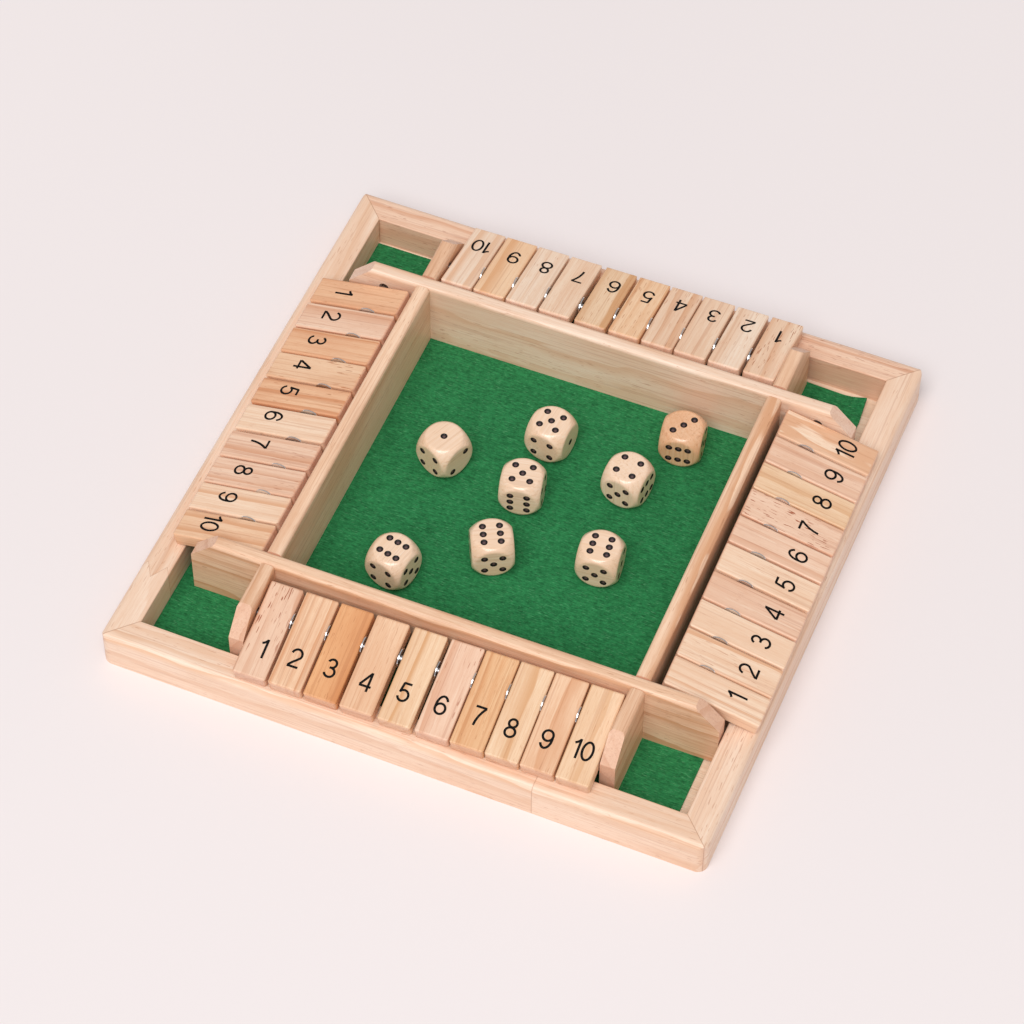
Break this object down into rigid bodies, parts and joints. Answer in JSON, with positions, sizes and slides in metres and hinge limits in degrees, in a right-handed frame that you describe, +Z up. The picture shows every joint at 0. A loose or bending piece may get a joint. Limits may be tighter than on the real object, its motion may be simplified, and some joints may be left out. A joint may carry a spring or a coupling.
{
  "type": "shut the box game board",
  "caption": "Square wooden dice game board with a felt-lined tray, a row of hinged number tiles along each side and loose wooden dice.",
  "frame": {"origin": "centre of the underside of the square frame", "axes": "+Z up, +X to the right along the front row of tiles, +Y to the back row"},
  "size_m": [0.2441, 0.244, 0.0336],
  "materials": {
    "panel_wood": "plain plywood, unvarnished",
    "felt": "short green felt",
    "frame_wood": "pine with a satin clear lacquer",
    "wall_wood": "pale pine with a satin clear lacquer",
    "tile_wood": "pine with a satin clear lacquer",
    "die_wood": "close-grained wood with a gloss clear lacquer",
    "die_wood_warm": "close-grained wood with a gloss clear lacquer",
    "rod_steel": "bright drawn steel",
    "washer_steel": "bright plated steel"
  },
  "bodies": {
    "board": {"base_panel": "panel_wood", "felt_lining": "felt", "frame_rail_front": "frame_wood", "frame_rail_right": "frame_wood", "frame_rail_back": "frame_wood", "frame_rail_left": "frame_wood", "long_wall_front": "wall_wood", "long_wall_back": "wall_wood", "side_walls": "wall_wood", "row_dividers": "frame_wood", "hinge_rods": "rod_steel", "rod_washers": "washer_steel"},
    "tile_front_1": {"tile_front_1": "tile_wood"},
    "tile_front_2": {"tile_front_2": "tile_wood"},
    "tile_front_3": {"tile_front_3": "tile_wood"},
    "tile_front_4": {"tile_front_4": "tile_wood"},
    "tile_front_5": {"tile_front_5": "tile_wood"},
    "tile_front_6": {"tile_front_6": "tile_wood"},
    "tile_front_7": {"tile_front_7": "tile_wood"},
    "tile_front_8": {"tile_front_8": "tile_wood"},
    "tile_front_9": {"tile_front_9": "tile_wood"},
    "tile_front_10": {"tile_front_10": "tile_wood"},
    "tile_right_1": {"tile_right_1": "tile_wood"},
    "tile_right_2": {"tile_right_2": "tile_wood"},
    "tile_right_3": {"tile_right_3": "tile_wood"},
    "tile_right_4": {"tile_right_4": "tile_wood"},
    "tile_right_5": {"tile_right_5": "tile_wood"},
    "tile_right_6": {"tile_right_6": "tile_wood"},
    "tile_right_7": {"tile_right_7": "tile_wood"},
    "tile_right_8": {"tile_right_8": "tile_wood"},
    "tile_right_9": {"tile_right_9": "tile_wood"},
    "tile_right_10": {"tile_right_10": "tile_wood"},
    "tile_back_1": {"tile_back_1": "tile_wood"},
    "tile_back_2": {"tile_back_2": "tile_wood"},
    "tile_back_3": {"tile_back_3": "tile_wood"},
    "tile_back_4": {"tile_back_4": "tile_wood"},
    "tile_back_5": {"tile_back_5": "tile_wood"},
    "tile_back_6": {"tile_back_6": "tile_wood"},
    "tile_back_7": {"tile_back_7": "tile_wood"},
    "tile_back_8": {"tile_back_8": "tile_wood"},
    "tile_back_9": {"tile_back_9": "tile_wood"},
    "tile_back_10": {"tile_back_10": "tile_wood"},
    "tile_left_1": {"tile_left_1": "tile_wood"},
    "tile_left_2": {"tile_left_2": "tile_wood"},
    "tile_left_3": {"tile_left_3": "tile_wood"},
    "tile_left_4": {"tile_left_4": "tile_wood"},
    "tile_left_5": {"tile_left_5": "tile_wood"},
    "tile_left_6": {"tile_left_6": "tile_wood"},
    "tile_left_7": {"tile_left_7": "tile_wood"},
    "tile_left_8": {"tile_left_8": "tile_wood"},
    "tile_left_9": {"tile_left_9": "tile_wood"},
    "tile_left_10": {"tile_left_10": "tile_wood"},
    "die_1": {"die_1": "die_wood"},
    "die_2": {"die_2": "die_wood"},
    "die_3": {"die_3": "die_wood_warm"},
    "die_4": {"die_4": "die_wood"},
    "die_5": {"die_5": "die_wood"},
    "die_6": {"die_6": "die_wood"},
    "die_7": {"die_7": "die_wood"},
    "die_8": {"die_8": "die_wood"}
  },
  "joints": [
    {"name": "tile_front_1_hinge", "type": "hinge", "parent": "board", "child": "tile_front_1", "pos_m": [-0.06098, -0.09436, 0.0253], "axis": [-0.9997, -0.0244, 0], "range_deg": [0, 156.96]},
    {"name": "tile_front_2_hinge", "type": "hinge", "parent": "board", "child": "tile_front_2", "pos_m": [-0.04668, -0.09401, 0.0253], "axis": [-0.9997, -0.0244, 0], "range_deg": [0, 156.55]},
    {"name": "tile_front_3_hinge", "type": "hinge", "parent": "board", "child": "tile_front_3", "pos_m": [-0.03248, -0.09366, 0.0253], "axis": [-0.9997, -0.0244, 0], "range_deg": [0, 156.12]},
    {"name": "tile_front_4_hinge", "type": "hinge", "parent": "board", "child": "tile_front_4", "pos_m": [-0.01804, -0.09331, 0.0253], "axis": [-0.9997, -0.0244, 0], "range_deg": [0, 155.68]},
    {"name": "tile_front_5_hinge", "type": "hinge", "parent": "board", "child": "tile_front_5", "pos_m": [-0.00289, -0.09294, 0.0253], "axis": [-0.9997, -0.0244, 0], "range_deg": [0, 155.2]},
    {"name": "tile_front_6_hinge", "type": "hinge", "parent": "board", "child": "tile_front_6", "pos_m": [0.0119, -0.09258, 0.0253], "axis": [-0.9997, -0.0244, 0], "range_deg": [0, 154.73]},
    {"name": "tile_front_7_hinge", "type": "hinge", "parent": "board", "child": "tile_front_7", "pos_m": [0.0257, -0.09224, 0.0253], "axis": [-0.9997, -0.0244, 0], "range_deg": [0, 154.28]},
    {"name": "tile_front_8_hinge", "type": "hinge", "parent": "board", "child": "tile_front_8", "pos_m": [0.03944, -0.09191, 0.0253], "axis": [-0.9997, -0.0244, 0], "range_deg": [0, 153.81]},
    {"name": "tile_front_9_hinge", "type": "hinge", "parent": "board", "child": "tile_front_9", "pos_m": [0.05314, -0.09157, 0.0253], "axis": [-0.9997, -0.0244, 0], "range_deg": [0, 153.34]},
    {"name": "tile_front_10_hinge", "type": "hinge", "parent": "board", "child": "tile_front_10", "pos_m": [0.06703, -0.09123, 0.0253], "axis": [-0.9997, -0.0244, 0], "range_deg": [0, 152.86]},
    {"name": "tile_right_1_hinge", "type": "hinge", "parent": "board", "child": "tile_right_1", "pos_m": [0.09587, -0.06203, 0.0253], "axis": [0.014, -0.9999, 0], "range_deg": [0, 156.95]},
    {"name": "tile_right_2_hinge", "type": "hinge", "parent": "board", "child": "tile_right_2", "pos_m": [0.09567, -0.04827, 0.0253], "axis": [0.014, -0.9999, 0], "range_deg": [0, 156.81]},
    {"name": "tile_right_3_hinge", "type": "hinge", "parent": "board", "child": "tile_right_3", "pos_m": [0.09548, -0.03426, 0.0253], "axis": [0.014, -0.9999, 0], "range_deg": [0, 156.68]},
    {"name": "tile_right_4_hinge", "type": "hinge", "parent": "board", "child": "tile_right_4", "pos_m": [0.09528, -0.02027, 0.0253], "axis": [0.014, -0.9999, 0], "range_deg": [0, 156.54]},
    {"name": "tile_right_5_hinge", "type": "hinge", "parent": "board", "child": "tile_right_5", "pos_m": [0.09508, -0.00601, 0.0253], "axis": [0.014, -0.9999, 0], "range_deg": [0, 156.4]},
    {"name": "tile_right_6_hinge", "type": "hinge", "parent": "board", "child": "tile_right_6", "pos_m": [0.09489, 0.00809, 0.0253], "axis": [0.014, -0.9999, 0], "range_deg": [0, 156.26]},
    {"name": "tile_right_7_hinge", "type": "hinge", "parent": "board", "child": "tile_right_7", "pos_m": [0.09469, 0.02199, 0.0253], "axis": [0.014, -0.9999, 0], "range_deg": [0, 156.12]},
    {"name": "tile_right_8_hinge", "type": "hinge", "parent": "board", "child": "tile_right_8", "pos_m": [0.0945, 0.03576, 0.0253], "axis": [0.014, -0.9999, 0], "range_deg": [0, 155.98]},
    {"name": "tile_right_9_hinge", "type": "hinge", "parent": "board", "child": "tile_right_9", "pos_m": [0.09431, 0.04961, 0.0253], "axis": [0.014, -0.9999, 0], "range_deg": [0, 155.84]},
    {"name": "tile_right_10_hinge", "type": "hinge", "parent": "board", "child": "tile_right_10", "pos_m": [0.09411, 0.06378, 0.0253], "axis": [0.014, -0.9999, 0], "range_deg": [0, 155.69]},
    {"name": "tile_back_1_hinge", "type": "hinge", "parent": "board", "child": "tile_back_1", "pos_m": [0.0655, 0.09287, 0.0253], "axis": [0.9998, 0.0183, 0], "range_deg": [0, 156.5]},
    {"name": "tile_back_2_hinge", "type": "hinge", "parent": "board", "child": "tile_back_2", "pos_m": [0.05094, 0.0926, 0.0253], "axis": [0.9998, 0.0183, 0], "range_deg": [0, 156.23]},
    {"name": "tile_back_3_hinge", "type": "hinge", "parent": "board", "child": "tile_back_3", "pos_m": [0.03669, 0.09234, 0.0253], "axis": [0.9998, 0.0183, 0], "range_deg": [0, 155.97]},
    {"name": "tile_back_4_hinge", "type": "hinge", "parent": "board", "child": "tile_back_4", "pos_m": [0.02291, 0.09209, 0.0253], "axis": [0.9998, 0.0183, 0], "range_deg": [0, 155.71]},
    {"name": "tile_back_5_hinge", "type": "hinge", "parent": "board", "child": "tile_back_5", "pos_m": [0.00902, 0.09184, 0.0253], "axis": [0.9998, 0.0183, 0], "range_deg": [0, 155.45]},
    {"name": "tile_back_6_hinge", "type": "hinge", "parent": "board", "child": "tile_back_6", "pos_m": [-0.0053, 0.09157, 0.0253], "axis": [0.9998, 0.0183, 0], "range_deg": [0, 155.17]},
    {"name": "tile_back_7_hinge", "type": "hinge", "parent": "board", "child": "tile_back_7", "pos_m": [-0.02047, 0.0913, 0.0253], "axis": [0.9998, 0.0183, 0], "range_deg": [0, 154.87]},
    {"name": "tile_back_8_hinge", "type": "hinge", "parent": "board", "child": "tile_back_8", "pos_m": [-0.0346, 0.09104, 0.0253], "axis": [0.9998, 0.0183, 0], "range_deg": [0, 154.59]},
    {"name": "tile_back_9_hinge", "type": "hinge", "parent": "board", "child": "tile_back_9", "pos_m": [-0.04852, 0.09078, 0.0253], "axis": [0.9998, 0.0183, 0], "range_deg": [0, 154.31]},
    {"name": "tile_back_10_hinge", "type": "hinge", "parent": "board", "child": "tile_back_10", "pos_m": [-0.06243, 0.09053, 0.0253], "axis": [0.9998, 0.0183, 0], "range_deg": [0, 154.03]},
    {"name": "tile_left_1_hinge", "type": "hinge", "parent": "board", "child": "tile_left_1", "pos_m": [-0.08968, 0.06132, 0.0253], "axis": [-0.0061, 1, 0], "range_deg": [0, 153.37]},
    {"name": "tile_left_2_hinge", "type": "hinge", "parent": "board", "child": "tile_left_2", "pos_m": [-0.08959, 0.0471, 0.0253], "axis": [-0.0061, 1, 0], "range_deg": [0, 153.45]},
    {"name": "tile_left_3_hinge", "type": "hinge", "parent": "board", "child": "tile_left_3", "pos_m": [-0.08951, 0.03313, 0.0253], "axis": [-0.0061, 1, 0], "range_deg": [0, 153.53]},
    {"name": "tile_left_4_hinge", "type": "hinge", "parent": "board", "child": "tile_left_4", "pos_m": [-0.08942, 0.01923, 0.0253], "axis": [-0.0061, 1, 0], "range_deg": [0, 153.61]},
    {"name": "tile_left_5_hinge", "type": "hinge", "parent": "board", "child": "tile_left_5", "pos_m": [-0.08934, 0.005, 0.0253], "axis": [-0.0061, 1, 0], "range_deg": [0, 153.69]},
    {"name": "tile_left_6_hinge", "type": "hinge", "parent": "board", "child": "tile_left_6", "pos_m": [-0.08925, -0.00935, 0.0253], "axis": [-0.0061, 1, 0], "range_deg": [0, 153.77]},
    {"name": "tile_left_7_hinge", "type": "hinge", "parent": "board", "child": "tile_left_7", "pos_m": [-0.08916, -0.02378, 0.0253], "axis": [-0.0061, 1, 0], "range_deg": [0, 153.85]},
    {"name": "tile_left_8_hinge", "type": "hinge", "parent": "board", "child": "tile_left_8", "pos_m": [-0.08908, -0.03773, 0.0253], "axis": [-0.0061, 1, 0], "range_deg": [0, 153.93]},
    {"name": "tile_left_9_hinge", "type": "hinge", "parent": "board", "child": "tile_left_9", "pos_m": [-0.08899, -0.05143, 0.0253], "axis": [-0.0061, 1, 0], "range_deg": [0, 154.01]},
    {"name": "tile_left_10_hinge", "type": "hinge", "parent": "board", "child": "tile_left_10", "pos_m": [-0.0889, -0.0655, 0.0253], "axis": [-0.0061, 1, 0], "range_deg": [0, 154.09]},
    {"name": "die_1_lift", "type": "slide", "parent": "board", "child": "die_1", "axis": [0, 0, 1], "range_m": [0, 0.06]},
    {"name": "die_2_lift", "type": "slide", "parent": "board", "child": "die_2", "axis": [0, 0, 1], "range_m": [0, 0.06]},
    {"name": "die_3_lift", "type": "slide", "parent": "board", "child": "die_3", "axis": [0, 0, 1], "range_m": [0, 0.06]},
    {"name": "die_4_lift", "type": "slide", "parent": "board", "child": "die_4", "axis": [0, 0, 1], "range_m": [0, 0.06]},
    {"name": "die_5_lift", "type": "slide", "parent": "board", "child": "die_5", "axis": [0, 0, 1], "range_m": [0, 0.06]},
    {"name": "die_6_lift", "type": "slide", "parent": "board", "child": "die_6", "axis": [0, 0, 1], "range_m": [0, 0.06]},
    {"name": "die_7_lift", "type": "slide", "parent": "board", "child": "die_7", "axis": [0, 0, 1], "range_m": [0, 0.06]},
    {"name": "die_8_lift", "type": "slide", "parent": "board", "child": "die_8", "axis": [0, 0, 1], "range_m": [0, 0.06]}
  ]
}
